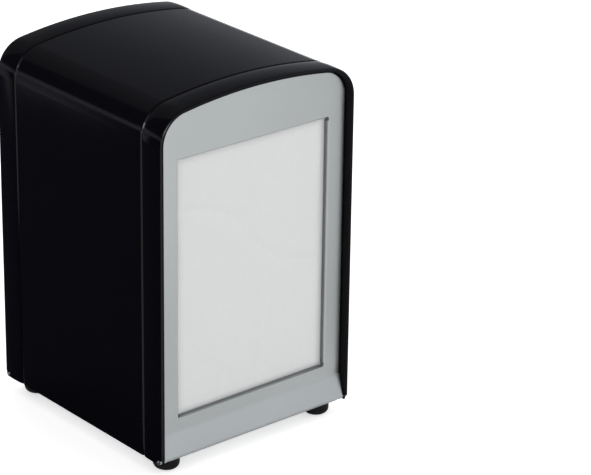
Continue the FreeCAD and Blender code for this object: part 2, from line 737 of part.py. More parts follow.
def pusher_plate():
    half = PUSHER_WIDTH / 2
    top = PUSHER_Z + PUSHER_HEIGHT
    depth = PUSHER_GAUGE + PUSHER_FLANGE
    outer = rounded_panel(half, PUSHER_Z, top, PUSHER_CORNER_RADIUS, PUSHER_FRONT_Y, depth)
    outer = outer.makeFillet(PUSHER_BEND_RADIUS, front_rim(outer, PUSHER_FRONT_Y))
    inner = rounded_panel(
        half - PUSHER_GAUGE,
        PUSHER_Z + PUSHER_GAUGE,
        top - PUSHER_GAUGE,
        PUSHER_CORNER_RADIUS - PUSHER_GAUGE,
        PUSHER_BACK_Y,
        depth,
    )
    inner = inner.makeFillet(PUSHER_BEND_RADIUS - PUSHER_GAUGE, front_rim(inner, PUSHER_BACK_Y))
    tray = outer.cut(inner)
    dish_wide = DISH_RADIUS + DISH_TAPER
    start = vec(0, PUSHER_BACK_Y, SPRING_Z)
    boss = Part.makeCone(dish_wide, DISH_RADIUS, DISH_DEPTH, start, Y)
    hollow_start = vec(0, PUSHER_FRONT_Y, SPRING_Z)
    hollow_wide = dish_wide - PUSHER_GAUGE / 2
    hollow = Part.makeCone(hollow_wide, DISH_RADIUS - PUSHER_GAUGE, DISH_DEPTH, hollow_start, Y)
    return tray.fuse(boss).cut(hollow)


# Pusher spring

def coil_point(turn):
    """A point of the coil's middle line, its radius falling and its flat end turns easing into the climb."""
    share = turn / COIL_TURNS
    radius = COIL_LARGE_RADIUS + (COIL_SMALL_RADIUS - COIL_LARGE_RADIUS) * share
    climb = (turn - COIL_END_TURNS) / (COIL_TURNS - 2 * COIL_END_TURNS)
    climb = min(max(climb, 0), 1)
    eased = climb * climb * (3 - 2 * climb)
    start_y = PARTITION_FACE_Y - WIRE_RADIUS - COIL_SEAT_GAP
    end_y = PUSHER_BACK_Y + WIRE_RADIUS + COIL_SEAT_GAP
    angle = 2 * math.pi * turn
    y = start_y + (end_y - start_y) * eased
    return vec(radius * math.cos(angle), y, SPRING_Z + radius * math.sin(angle))


def coil_direction(turn):
    low = max(turn - DIRECTION_STEP_SHARE, 0)
    high = min(turn + DIRECTION_STEP_SHARE, COIL_TURNS)
    return (coil_point(high) - coil_point(low)).normalize()


def biarc(start, end, start_way, end_way):
    """Two tangent arcs from start to end, leaving along start_way and arriving along end_way."""
    across = end - start
    ways = start_way + end_way
    a = 2 * (start_way.dot(end_way) - 1)
    b = -2 * across.dot(ways)
    c = across.dot(across)
    reach = (-b - math.sqrt(b * b - 4 * a * c)) / (2 * a)
    if reach < 0:
        reach = (-b + math.sqrt(b * b - 4 * a * c)) / (2 * a)
    first = start + start_way * reach
    second = end - end_way * reach
    joint = (first + second) * 0.5
    return [arc_from(start, first, joint), arc_from(joint, second, end)]


def arc_from(start, corner, end):
    """The arc that is tangent to both legs of an equal-legged corner."""
    chord_middle = (start + end) * 0.5
    half_chord = (end - start).Length / 2
    leg = (corner - start).Length
    height = (corner - chord_middle).Length
    sagitta = half_chord * (leg - half_chord) / height
    return Part.Arc(start, chord_middle + (corner - chord_middle).normalize() * sagitta, end).toShape()


def wire_section():
    """The wire's section at the coil's start, with flats that keep the coil's facets few."""
    way = coil_direction(0)
    outward = (coil_point(0) - vec(0, coil_point(0).y, SPRING_Z)).normalize()
    across = way.cross(outward).normalize()
    corners = []
    for n in range(WIRE_SIDES):
        angle = 2 * math.pi * n / WIRE_SIDES
        corners.append(coil_point(0) + (outward * math.cos(angle) + across * math.sin(angle)) * WIRE_RADIUS)
    return Part.makePolygon(corners + corners[:1])


def pusher_spring():
    steps = round(COIL_TURNS * COIL_STEPS_PER_TURN)
    turns = [COIL_TURNS * n / steps for n in range(steps + 1)]
    edges = []
    for low, high in zip(turns, turns[1:]):
        edges += biarc(coil_point(low), coil_point(high), coil_direction(low), coil_direction(high))
    coil = Part.Wire(edges).makePipeShell([wire_section()], True, False)
    count = steps * SAMPLES_PER_BEND
    samples = [coil_point(COIL_TURNS * n / count) for n in range(count + 1)]
    skip = COIL_STEPS_PER_TURN * SAMPLES_PER_BEND // 2
    least = min((a - b).Length for i, a in enumerate(samples) for b in samples[i + skip:])
    print("pusher spring: least gap to itself", round(least - 2 * WIRE_RADIUS, 2))
    return coil


def main():
    os.makedirs("parts", exist_ok=True)
    save("outer_shell", outer_shell())
    save("base_pan", base_pan())
    save("centre_partition", centre_partition())
    for name, place in foot_places().items():
        save(name, foot(place))
    save("foot_rivets", Part.makeCompound([foot_rivet(place) for place in foot_places().values()]))
    save("foot_washers", Part.makeCompound([foot_washer(place) for place in foot_places().values()]))
    front = {
        "hinge_rod": hinge_rod(),
        "latch_spring": latch_spring(),
        "face_plate": face_plate(),
        "pusher_plate": pusher_plate(),
        "pusher_spring": pusher_spring(),
        "napkin_pack": napkin_block(PACK_FRONT_Y, PACK_THICKNESS),
        "lead_napkin": napkin_block(LEAD_FRONT_Y, LEAD_THICKNESS),
    }
    for name, shape in front.items():
        save("front_" + name, shape)
        save("rear_" + name, turned(shape))


main()
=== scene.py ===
import math
import random

import bmesh
import bpy
from mathutils import Matrix, Vector


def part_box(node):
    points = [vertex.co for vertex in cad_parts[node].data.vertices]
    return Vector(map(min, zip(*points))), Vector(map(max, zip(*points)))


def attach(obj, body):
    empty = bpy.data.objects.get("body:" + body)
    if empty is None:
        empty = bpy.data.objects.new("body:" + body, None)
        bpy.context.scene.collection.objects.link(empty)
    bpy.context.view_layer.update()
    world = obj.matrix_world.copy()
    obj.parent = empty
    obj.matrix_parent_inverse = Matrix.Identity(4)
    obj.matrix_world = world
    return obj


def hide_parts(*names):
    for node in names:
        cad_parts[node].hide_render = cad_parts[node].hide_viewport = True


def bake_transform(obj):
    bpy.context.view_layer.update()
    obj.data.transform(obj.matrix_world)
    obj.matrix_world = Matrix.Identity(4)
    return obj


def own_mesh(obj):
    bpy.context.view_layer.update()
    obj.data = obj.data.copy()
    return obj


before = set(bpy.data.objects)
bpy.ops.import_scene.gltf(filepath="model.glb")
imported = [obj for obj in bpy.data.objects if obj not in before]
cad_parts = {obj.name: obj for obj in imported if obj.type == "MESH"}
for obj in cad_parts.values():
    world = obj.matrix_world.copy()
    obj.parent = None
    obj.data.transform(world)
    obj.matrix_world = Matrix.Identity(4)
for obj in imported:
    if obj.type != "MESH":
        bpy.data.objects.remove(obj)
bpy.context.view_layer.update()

MM = 0.001

# Camera. It stands where the photograph was taken from: in front of the dispenser, to its left
# and above it, with a long lens and a slight tilt of the horizon.
camera_place = Vector((-0.64761, -0.83247, 0.52272))
camera_azimuth = math.radians(-40.56)
camera_elevation = math.radians(23.02)
camera_roll = math.radians(0.86)
camera_lens = 170.2
camera_sensor = 36.0

camera_back = Vector((
    math.sin(camera_azimuth) * math.cos(camera_elevation),
    -math.cos(camera_azimuth) * math.cos(camera_elevation),
    math.sin(camera_elevation),
))
camera_side = Vector((0, 0, 1)).cross(camera_back).normalized()
camera_frame = Matrix((camera_side, camera_back.cross(camera_side), camera_back)).transposed().to_4x4()
bpy.ops.object.select_all(action="DESELECT")
bpy.ops.object.camera_add(location=camera_place)
camera = bpy.context.object
camera.matrix_world = (
    Matrix.Translation(camera_place) @ camera_frame @ Matrix.Rotation(camera_roll, 4, "Z")
)
camera.data.lens = camera_lens
camera.data.sensor_width = camera_sensor
camera.data.clip_start = 0.05
camera.data.clip_end = 20.0
bpy.context.scene.camera = camera

# Table and light. A wide pale sheet under a soft even sky that is white to the camera, with three
# soft lamps. Gloss mirrors a dim room instead, with cloths laid round the object and one hung up,
# and a long strip lamp of its own.
table_size = 12.0
table_colour = (0.86, 0.86, 0.86, 1)
table_lift_for_view = 0.55
table_lift_in_gloss = 0.15
sky_grey = (0.74, 0.74, 0.74, 1)
sky_behind = [(0.0, 0.36), (12.0, 0.2), (25.0, 0.12), (36.0, 0.1), (50.0, 0.14)]
sky_in_front = [(0.0, 1.3), (8.0, 0.75), (20.0, 0.55), (40.0, 0.5), (55.0, 0.08)]
sky_tint = (0.95, 0.98, 1.08)
sky_turn = 0.15
cloth_height = 0.2 * MM
cloth_side = -0.052
cloth_split = -0.05
cloth_near_side = 0.218
cloth_close_front = 0.05
cloth_near_front = 0.12
cloth_reach = 1.5
cloth_far_reach = 5.5
cloth_edge_azimuth = math.radians(27.0)
cloth_distance = 0.95
cloth_lift = 0.255
black_cloth_colour = (0.035, 0.035, 0.05, 1)
grey_cloth_colour = (0.26, 0.26, 0.32, 1)
pale_cloth_colour = (0.7, 0.7, 0.7, 1)
# The front cloths' shades hold painted shade: darker the closer they lie to the object, and darker
# towards the right.
white_cloth_colour = (1.0, 1.0, 1.0, 1)
far_front_painted_shade_colour = (0.62, 0.62, 0.62, 1)
close_white_colour = (0.92, 0.92, 0.92, 1)
close_front_painted_shade_colour = (0.78, 0.78, 0.78, 1)
near_white_colour = (0.78, 0.78, 0.78, 1)
near_front_painted_shade_colour = (0.64, 0.64, 0.64, 1)
left_fade_way = (1.12, 1.0, 0)
right_fade_way = (1.0, 0.855, 0)
cloth_fade = (-0.05, 0.03)
lamp_aim = Vector((0, 0, 0.08))


def node_adder(tree):
    """A function that adds a node to a material or to the sky, with its links, settings and values."""

    def add(kind, links=None, settings=None, **values):
        node = tree.nodes.new(kind)
        for key, value in (settings or {}).items():
            setattr(node, key, value)
        for key, value in values.items():
            node.inputs[key.replace("_", " ")].default_value = value
        for key, source in (links or {}).items():
            tree.links.new(source, node.inputs[key])
        return node

    return add


def new_material(name, roughness=0.5, metallic=0.0, specular=0.5, colour=None):
    """A material with its shader, and the function that adds a node to it."""
    material = bpy.data.materials.new(name)
    material.use_nodes = True
    shader = material.node_tree.nodes["Principled BSDF"]
    shader.inputs["Roughness"].default_value = roughness
    shader.inputs["Metallic"].default_value = metallic
    shader.inputs["Specular IOR Level"].default_value = specular
    if colour:
        shader.inputs["Base Color"].default_value = colour
    return material, shader, node_adder(material.node_tree)


def between(add, share, first, second):
    """The colour at a share of the way from one shade to another."""
    tone = add("ShaderNodeMix", {"Factor": share}, {"data_type": "RGBA"}, A=first, B=second)
    return tone.outputs["Result"]


def wire(source, target):
    """Links one node's output to another's input."""
    source.id_data.links.new(source, target)


table_material, table_shader, add = new_material(
    "pale_table", roughness=0.9, specular=0.1, colour=table_colour
)
seen = add("ShaderNodeLightPath")
in_gloss = add("ShaderNodeMath", {0: seen.outputs["Is Glossy Ray"]}, {"operation": "MULTIPLY"})
in_gloss.inputs[1].default_value = table_lift_in_gloss
lift = add("ShaderNodeMath", {0: seen.outputs["Is Camera Ray"]}, {"operation": "MULTIPLY_ADD"})
lift.inputs[1].default_value = table_lift_for_view
wire(in_gloss.outputs[0], lift.inputs[2])
table_shader.inputs["Emission Color"].default_value = (1, 1, 1, 1)
wire(lift.outputs[0], table_shader.inputs["Emission Strength"])

bpy.ops.object.select_all(action="DESELECT")
bpy.ops.mesh.primitive_plane_add(size=table_size)
table = bpy.context.object
table.name = "table"
table.data.materials.append(table_material)


def gloss_cloth(name, corners, near_colour, far_colour, way=(0, 0, 1), fade=(0, 1)):
    """A sheet in the room that only shows where gloss mirrors it, its shade changing along a way."""
    bpy.ops.object.select_all(action="DESELECT")
    bpy.ops.mesh.primitive_plane_add(size=1.0)
    cloth = bpy.context.object
    cloth.name = name
    for point, corner in zip(cloth.data.vertices, corners):
        point.co = corner
    material, shader, add = new_material(name, roughness=1.0, specular=0.0)
    place = add("ShaderNodeTexCoord").outputs["Object"]
    along = add("ShaderNodeVectorMath", {0: place}, {"operation": "DOT_PRODUCT"})
    along.inputs[1].default_value = way
    share = add(
        "ShaderNodeMapRange", {"Value": along.outputs["Value"]}, From_Min=fade[0], From_Max=fade[1]
    )
    tone = between(add, share.outputs["Result"], near_colour, far_colour)
    wire(tone, shader.inputs["Base Color"])
    cloth.data.materials.append(material)
    cloth.visible_camera = False
    cloth.visible_diffuse = False
    cloth.visible_shadow = False


def cloth_corners(start, along, up):
    """The corners of a sheet that is spanned from its start by two ways."""
    return [start, start + along, start + up, start + along + up]


reach_back = Vector((0, cloth_reach, 0))
reach_left = Vector((-cloth_reach, 0, 0))
reach_up = Vector((0, 0, cloth_reach))
near_left = Vector((-cloth_near_side, 0, 0))
close_front = Vector((0, -cloth_close_front, 0))
near_front = Vector((0, -cloth_near_front, 0))
far_left = Vector((-cloth_far_reach, 0, 0))
far_back = Vector((0, cloth_far_reach, 0))
cloth_start = Vector((cloth_side, cloth_split, cloth_height))
gloss_cloth("cloth_near_left", cloth_corners(cloth_start, near_left, reach_back),
            black_cloth_colour, black_cloth_colour)
gloss_cloth("cloth_far_left", cloth_corners(cloth_start + near_left, far_left, far_back),
            black_cloth_colour, grey_cloth_colour, left_fade_way, cloth_fade)
gloss_cloth("cloth_front_left", cloth_corners(cloth_start, reach_left, -reach_back),
            pale_cloth_colour, pale_cloth_colour)
# The front cloths carry painted shade: darker close to the object, where its shadow falls, and fading
# darker towards the right and back, so the plates mirror it.
gloss_cloth("cloth_close_front", cloth_corners(cloth_start, -reach_left, close_front),
            close_white_colour, close_front_painted_shade_colour, right_fade_way, cloth_fade)
near_start = cloth_start + close_front
gloss_cloth("cloth_near_front", cloth_corners(near_start, -reach_left, near_front),
            near_white_colour, near_front_painted_shade_colour, right_fade_way, cloth_fade)
gloss_cloth("cloth_far_front", cloth_corners(near_start + near_front, -reach_left, -reach_back),
            white_cloth_colour, far_front_painted_shade_colour, right_fade_way, cloth_fade)
cloth_foot = cloth_distance * Vector((-math.sin(cloth_edge_azimuth), math.cos(cloth_edge_azimuth), 0))
cloth_foot.z = cloth_lift
gloss_cloth("cloth_hung_behind", cloth_corners(cloth_foot, reach_left - reach_back, reach_up),
            black_cloth_colour, black_cloth_colour)

world = bpy.data.worlds.new("studio_sky")
bpy.context.scene.world = world
world.use_nodes = True
sky = world.node_tree.nodes["Background"]
add = node_adder(world.node_tree)


def sky_ramp(add, height, levels):
    """The brightness of the room by how high one looks, from the horizon upwards."""
    ramp = add("ShaderNodeValToRGB", {"Fac": height})
    stops = ramp.color_ramp.elements
    for index, (elevation, strength) in enumerate(levels):
        stop = stops[index] if index < len(stops) else stops.new(1.0)
        stop.position = math.sin(math.radians(elevation))
        stop.color = [strength * tint for tint in sky_tint] + [1]
    return ramp.outputs["Color"]


look_way = add("ShaderNodeTexCoord")
look_parts = add("ShaderNodeSeparateXYZ", {"Vector": look_way.outputs["Generated"]})
backwards = add(
    "ShaderNodeMapRange", {"Value": look_parts.outputs["Y"]}, From_Min=-sky_turn, From_Max=sky_turn
)
room = between(add, backwards.outputs["Result"], sky_grey, sky_grey)
wire(sky_ramp(add, look_parts.outputs["Z"], sky_in_front), room.node.inputs["A"])
wire(sky_ramp(add, look_parts.outputs["Z"], sky_behind), room.node.inputs["B"])
sky_seen = add("ShaderNodeLightPath")
gloss_or_rest = between(add, sky_seen.outputs["Is Glossy Ray"], sky_grey, sky_grey)
wire(room, gloss_or_rest.node.inputs["B"])
camera_or_rest = between(add, sky_seen.outputs["Is Camera Ray"], sky_grey, (1, 1, 1, 1))
wire(gloss_or_rest, camera_or_rest.node.inputs["A"])
wire(camera_or_rest, sky.inputs["Color"])


def soft_lamp(name, place, width, height, watts, gloss_only=False):
    """A soft lamp turned towards the object, which gloss doesn't mirror, or which only gloss shows."""
    bpy.ops.object.select_all(action="DESELECT")
    bpy.ops.object.light_add(type="AREA", location=place)
    lamp = bpy.context.object
    lamp.name = name
    lamp.data.shape = "RECTANGLE"
    lamp.data.size = width
    lamp.data.size_y = height
    lamp.data.energy = watts
    lamp.visible_diffuse = not gloss_only
    lamp.visible_glossy = gloss_only
    lamp.rotation_mode = "QUATERNION"
    lamp.rotation_quaternion = (Vector(place) - lamp_aim).to_track_quat("Z", "Y")


soft_lamp("lamp_overhead", (0.4, 0.3, 1.8), width=0.7, height=0.7, watts=6.0)
soft_lamp("lamp_front_left", (-1.1, -1.4, 0.85), width=0.5, height=0.5, watts=5.0)
soft_lamp("lamp_front_right", (1.3, -0.9, 0.9), width=1.0, height=1.0, watts=5.0)
soft_lamp("lamp_strip_in_gloss", (-0.96, -1.48, 0.72), width=1.9, height=0.5, watts=15.0, gloss_only=True)
bpy.context.scene.view_settings.view_transform = "Standard"

# Outer shell. One sheet of steel bent over both side walls and the crown, with a raised band, a
# pressed groove and a folded hem at each end, all coated in gloss black enamel.
shell_low, shell_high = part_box("outer_shell")
half_width = shell_high.x
half_depth = shell_high.y
shell_foot = shell_low.z
crest = shell_high.z
corner_radius = 14.0 * MM
crown_radius = 230.0 * MM
shell_gauge = 0.75 * MM
band_crest = 0.3 * MM
band_bend_share = 0.85
groove_place = 12.4 * MM
groove_half_width = 0.8 * MM
groove_depth = 0.72 * MM
groove_root_radius = 0.45 * MM
groove_shoulder_radius = 0.5 * MM
hem_depth = 8.0 * MM
hem_gap = 0.1 * MM
cut_margin = 1.0 * MM
notch_clearance = 0.4 * MM
notch_lip_rise = 0.5 * MM
near = 0.01 * MM

corner_x = half_width - corner_radius
crown_z = crest - crown_radius
corner_z = crown_z + math.sqrt((crown_radius - corner_radius) ** 2 - corner_x**2)
corner_turn = math.atan2(corner_z - crown_z, corner_x)
crown_turn = math.pi - 2 * corner_turn
panel_middle = band_crest + shell_gauge / 2
leg_middle = panel_middle + shell_gauge + hem_gap
hem_inside = leg_middle + shell_gauge / 2


def point_mesh(name, place):
    """A new piece of one point, left in edit mode."""
    bpy.ops.object.select_all(action="DESELECT")
    bpy.ops.mesh.primitive_plane_add(size=MM, location=place)
    piece = bpy.context.object
    piece.name = name
    bpy.ops.object.transform_apply(location=True)
    bpy.ops.object.mode_set(mode="EDIT")
    bpy.ops.mesh.select_mode(type="VERT")
    bpy.ops.mesh.merge(type="CENTER")
    return piece


def draw(places):
    """Extrudes the end point at the first place on to the others."""
    for here, there in zip(places, places[1:]):
        bpy.ops.mesh.extrude_region_move(TRANSFORM_OT_translate={"value": there - here})


def pull(x=0.0, y=0.0, z=0.0):
    """Extrudes what is chosen by a distance."""
    bpy.ops.mesh.extrude_region_move(TRANSFORM_OT_translate={"value": (x, y, z)})


def choose(kind, test, one_passes=None):
    """Selects only the points, edges or faces whose corners all pass a test, and one of them another."""
    bpy.ops.mesh.select_mode(type=kind)
    bpy.ops.mesh.select_all(action="DESELECT")
    mesh = bmesh.from_edit_mesh(bpy.context.object.data)
    parts = {"VERT": mesh.verts, "EDGE": mesh.edges, "FACE": mesh.faces}[kind]
    for part in parts:
        corners = [part] if kind == "VERT" else part.verts
        if one_passes and not any(one_passes(corner.co) for corner in corners):
            continue
        if all(test(corner.co) for corner in corners):
            part.select_set(True)
    mesh.select_flush_mode()
    bmesh.update_edit_mesh(bpy.context.object.data)


def close_to(places):
    """A test for points that lie at one of the places."""
    return lambda point: any((point - place).length < near for place in places)


def sweep(centre, turn, steps):
    """Spins what is chosen about a line along Y, from +X towards +Z."""
    bpy.ops.mesh.spin(steps=steps, angle=-turn, center=centre, axis=(0, -1, 0))


def merge():
    """Selects the whole mesh and merges the points that meet."""
    bpy.ops.mesh.select_all(action="SELECT")
    bpy.ops.mesh.remove_doubles(threshold=near)


def turn_outwards():
    """Turns all faces outwards."""
    bpy.ops.mesh.select_all(action="SELECT")
    bpy.ops.mesh.normals_make_consistent(inside=False)


def arch(foot, corner_steps, crown_steps):
    """Carries what is chosen up from the foot, over both corners and the crown, and down again."""
    pull(z=corner_z - foot)
    sweep((corner_x, 0, corner_z), corner_turn, corner_steps)
    sweep((0, 0, crown_z), crown_turn, crown_steps)
    sweep((-corner_x, 0, corner_z), corner_turn, corner_steps)
    pull(z=foot - corner_z)
    merge()


def round_points(places, radius, turn, segments):
    """Rounds the corners at the places to a bend of that radius."""
    choose("VERT", close_to(places))
    bpy.ops.mesh.bevel(
        offset=radius * math.tan(turn / 2), segments=segments, affect="VERTICES", clamp_overlap=False
    )


def finish_with(piece, kind, **settings):
    """Adds a modifier and applies it."""
    if bpy.context.mode != "OBJECT":
        bpy.ops.object.mode_set(mode="OBJECT")
    bpy.context.view_layer.objects.active = piece
    modifier = piece.modifiers.new(kind, kind)
    for key, value in settings.items():
        setattr(modifier, key, value)
    bpy.ops.object.modifier_apply(modifier=modifier.name)


def cut_with(piece, cutter):
    """Cuts a closed shape out of a piece and deletes the cutter."""
    finish_with(piece, "BOOLEAN", object=cutter, operation="DIFFERENCE", solver="EXACT")
    bpy.data.objects.remove(cutter)


def pick(*pieces):
    """Selects these pieces alone, with the first one active."""
    bpy.ops.object.select_all(action="DESELECT")
    for piece in pieces:
        piece.select_set(True)
    bpy.context.view_layer.objects.active = pieces[0]


def shade(piece, degrees=35):
    """Smooth shading up to an angle, with the large faces kept flat."""
    pick(piece)
    bpy.ops.object.shade_smooth_by_angle(angle=math.radians(degrees))
    finish_with(piece, "WEIGHTED_NORMAL", keep_sharp=True)


shoulder = groove_place - groove_half_width
band_middle = (shell_gauge / 2 + shoulder) / 2
band_run = shoulder - band_middle
band_rise = band_crest / (1 - band_bend_share / 2)
band_lean = math.atan2(band_rise, band_run)
groove_lean = math.atan2(groove_depth, groove_half_width)
nose_radius = (shell_gauge + hem_gap) / 2
# Half the sheet's outline, from the hem round the end and over the band into the groove: each point's
# distance inward from the wall, and along the wall from its end.
shell_section = [
    (leg_middle, hem_depth),
    (leg_middle, shell_gauge / 2),
    (panel_middle, shell_gauge / 2),
    (panel_middle - band_rise, band_middle),
    (panel_middle, shoulder),
    (panel_middle + groove_depth, groove_place),
    (panel_middle, groove_place + groove_half_width),
]
front_half = []
for inward, along in shell_section:
    front_half.append(Vector((half_width - inward, along - half_depth, shell_foot)))
rear_half = [Vector((point.x, -point.y, point.z)) for point in front_half]
shell = point_mesh("outer_shell_enamelled", front_half[0])
draw(front_half + rear_half[::-1])
for index, radius, turn, segments in [
    (6, groove_shoulder_radius, groove_lean, 5),
    (5, groove_root_radius, 2 * groove_lean, 8),
    (4, groove_shoulder_radius, groove_lean - band_lean, 4),
    (3, band_bend_share * band_run / math.tan(band_lean), 2 * band_lean, 16),
    (2, nose_radius, math.pi / 2, 8),
    (1, nose_radius, math.pi / 2, 8),
]:
    round_points([front_half[index], rear_half[index]], radius, turn, segments)
merge()
arch(shell_foot, corner_steps=28, crown_steps=30)
turn_outwards()

plate_gauge = 0.55 * MM
curl_radius = 1.225 * MM
curl_outside = curl_radius + plate_gauge / 2
curl_inside = curl_radius - plate_gauge / 2
rod_low, rod_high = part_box("front_hinge_rod")
hinge_y = (rod_low.y + rod_high.y) / 2
hinge_z = (rod_low.z + rod_high.z) / 2
notch_radius = curl_outside + notch_clearance
notch_lip = hinge_z + notch_lip_rise
notch_turn = math.pi + math.acos((notch_lip - hinge_z) / notch_radius)
notch_steps = 16
notch_ceiling = hinge_z + notch_radius + cut_margin
hem_back = hem_depth - half_depth + near


def notch_place(step):
    """A point of the notch's round edge, from below the hinge over its rear to the front lip."""
    angle = notch_turn * step / notch_steps
    rearwards = notch_radius * math.sin(angle)
    downwards = notch_radius * math.cos(angle)
    return Vector((0, hinge_y + rearwards, hinge_z - downwards))


for end in (1, -1):
    cuts = [
        (Vector((0, 0, notch_ceiling)), Vector((0, 0, 1))),
        (Vector((0, 0, notch_lip)), Vector((0, 0, 1))),
    ]
    for step in range(notch_steps):
        along = notch_place(step + 1) - notch_place(step)
        cuts.append((notch_place(step), Vector((0, -along.z, along.y))))
    reach = corner_z
    for place, way in cuts:
        choose("FACE", lambda point: end * point.y < hem_back and point.z < reach + near)
        place.y *= end
        way.y *= end
        bpy.ops.mesh.bisect(plane_co=place, plane_no=way, threshold=near / 10)
        reach = notch_ceiling

    def in_notch(point):
        inwards = Vector((0, end * point.y - hinge_y, point.z - hinge_z))
        return inwards.length < notch_radius + near or (inwards.y < near and point.z < notch_lip + near)

    choose("FACE", in_notch)
    bpy.ops.mesh.delete(type="FACE")
finish_with(shell, "SOLIDIFY", thickness=shell_gauge, offset=0, use_even_offset=True)
shade(shell)

enamel_colour = (0.0012, 0.0011, 0.0022, 1)
enamel_roughness = 0.1
enamel_specular = 0.36
enamel_wave_scale = 220.0
enamel_wave_height = 0.02 * MM
enamel_smear_scale = 35.0
enamel_haze = (-0.04, 0.08)
undercoat_facing = 0.3
undercoat_colour = (0.003, 0.003, 0.0035, 1)


def clouds(add, scale, detail, stretch=None):
    """The light and dark of a cloudy pattern that keeps its place on the piece."""
    place = add("ShaderNodeTexCoord").outputs["Object"]
    if stretch:
        place = add("ShaderNodeMapping", {"Vector": place}, Scale=stretch).outputs["Vector"]
    return add("ShaderNodeTexNoise", {"Vector": place}, Scale=scale, Detail=detail).outputs["Fac"]


def emboss(add, shader, pattern, strength, height):
    """Lets a pattern stand out of the surface."""
    bump = add("ShaderNodeBump", {"Height": pattern}, Strength=strength, Distance=height)
    wire(bump.outputs["Normal"], shader.inputs["Normal"])


enamel_material, enamel_shader, add = new_material(
    "black_enamel", enamel_roughness, specular=enamel_specular, colour=enamel_colour
)
waves = clouds(add, enamel_wave_scale, detail=2.0)
emboss(add, enamel_shader, waves, strength=0.25, height=enamel_wave_height)
haze = add(
    "ShaderNodeMapRange",
    {"Value": clouds(add, enamel_smear_scale, detail=4.0)},
    To_Min=enamel_roughness + enamel_haze[0],
    To_Max=enamel_roughness + enamel_haze[1],
)
wire(haze.outputs["Result"], enamel_shader.inputs["Roughness"])
undercoat_material, undercoat_shader, add = new_material(
    "black_undercoat", roughness=0.6, specular=0.1, colour=undercoat_colour
)
mist = clouds(add, scale=1500.0, detail=2.0)
emboss(add, undercoat_shader, mist, strength=0.3, height=0.03 * MM)
shell.data.materials.append(enamel_material)
shell.data.materials.append(undercoat_material)
for face in shell.data.polygons:
    outwards = Vector((face.center.x, 0, face.center.z - crest / 2)).normalized()
    if face.normal.dot(outwards) < undercoat_facing:
        face.material_index = 1
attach(shell, "case")
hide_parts("outer_shell")

# Face plates. Each is one satin-finished steel sheet: a return edge all round, a window with its
# edge turned in and a relief hole at each corner, and a lower strip kicked forward and rolled.
cutter_foot = shell_foot - cut_margin
plate_recess = 3.4 * MM
plate_side_gap = 0.25 * MM
plate_inset = hem_inside + plate_side_gap
plate_flange = 5.0 * MM
plate_bend_outside = 0.95 * MM
plate_bend = plate_bend_outside - plate_gauge / 2
kick_height = 11.9 * MM
kick_z = shell_foot + kick_height
kick_run = 0.8 * MM
kick_bend = 9.0 * MM
bend_relief = 0.6 * MM
wing_clearance = 0.1 * MM
wing_top = notch_lip - wing_clearance
wing_reach = half_width - wing_clearance
strip_side_gap = 0.5 * MM
strip_reach = half_width - hem_inside - strip_side_gap
window_side_border = 9.0 * MM
window_top_border = 22.75 * MM
window_low_border = 5.2 * MM
window_flange = 2.3 * MM
window_bend = 0.4 * MM
relief_high_radius = 1.1 * MM
relief_high_inward = 0.6 * MM
relief_low_radius = 0.85 * MM
relief_low_inward = 0.55 * MM
curl_turn = math.radians(240.0)
lug_place = 44.5 * MM
lug_slot_half = 0.9 * MM
lug_slot_reach = 1.25 * MM
lug_slot_front = hinge_y - lug_slot_reach
lug_slot_top = hinge_z + curl_outside + cut_margin / 2

plate_front = plate_recess - half_depth
plate_middle = plate_front + plate_gauge / 2
plate_side = half_width - plate_inset - plate_gauge / 2
window_x = half_width - plate_inset - window_side_border
window_low = kick_z + window_low_border
window_high = crest - plate_inset - window_top_border

plate = point_mesh("front_plate_satin", Vector((plate_side, plate_middle, kick_z)))
arch(kick_z, corner_steps=20, crown_steps=28)
bpy.ops.mesh.edge_face_add()


def in_plate_face(point):
    """A test for points on the flat front of the plate."""
    return abs(point.y - plate_middle) < near


def above_kick(point):
    """A test for points higher than the kicked strip."""
    return point.z > kick_z + near


choose("EDGE", in_plate_face, above_kick)
pull(y=plate_flange - plate_gauge / 2)
choose("EDGE", in_plate_face, above_kick)
bpy.ops.mesh.bevel(offset=plate_bend, segments=6, affect="EDGES", clamp_overlap=False)

window_middle_x = window_x + plate_gauge / 2
window_middle_low = window_low - plate_gauge / 2
window_middle_high = window_high + plate_gauge / 2
for spot, way in [
    ((window_middle_x, 0, 0), (1, 0, 0)),
    ((-window_middle_x, 0, 0), (1, 0, 0)),
    ((0, 0, window_middle_low), (0, 0, 1)),
    ((0, 0, window_middle_high), (0, 0, 1)),
]:
    choose("FACE", in_plate_face)
    bpy.ops.mesh.bisect(plane_co=spot, plane_no=way)


def in_window(point):
    across = abs(point.x) < window_middle_x + near
    upright = window_middle_low - near < point.z < window_middle_high + near
    return across and upright and in_plate_face(point)


choose("FACE", in_window)
bpy.ops.mesh.delete(type="ONLY_FACE")
choose("EDGE", in_window)
pull(y=window_flange - plate_gauge / 2)
choose("EDGE", in_window)
bpy.ops.mesh.bevel(offset=window_bend, segments=5, affect="EDGES", clamp_overlap=False)
bpy.ops.object.mode_set(mode="OBJECT")

kick_start = Vector((-strip_reach, plate_middle, kick_z))
kink = Vector((-strip_reach, plate_middle, kick_z - kick_run))
hinge = Vector((-strip_reach, hinge_y, hinge_z))
away = hinge - kink
slope = math.atan2(-away.y, -away.z) + math.asin(curl_radius / away.length)
down = Vector((0, -math.sin(slope), -math.cos(slope)))
wing_start = kink + down * ((kink.z - wing_top) / math.cos(slope))
curl_start = kink + down * math.sqrt(away.length_squared - curl_radius**2)
strip = point_mesh("kick_strip", kick_start)
draw([kick_start, kink, wing_start, curl_start])
bpy.ops.mesh.spin(steps=24, angle=-curl_turn, center=hinge, axis=(1, 0, 0))
merge()
round_points([kink], kick_bend, slope, segments=6)
bpy.ops.mesh.select_all(action="SELECT")
flat_end = plate_side - plate_bend
columns = [-strip_reach, -flat_end, -window_middle_x, window_middle_x, flat_end, strip_reach]
for here, there in zip(columns, columns[1:]):
    pull(x=there - here)
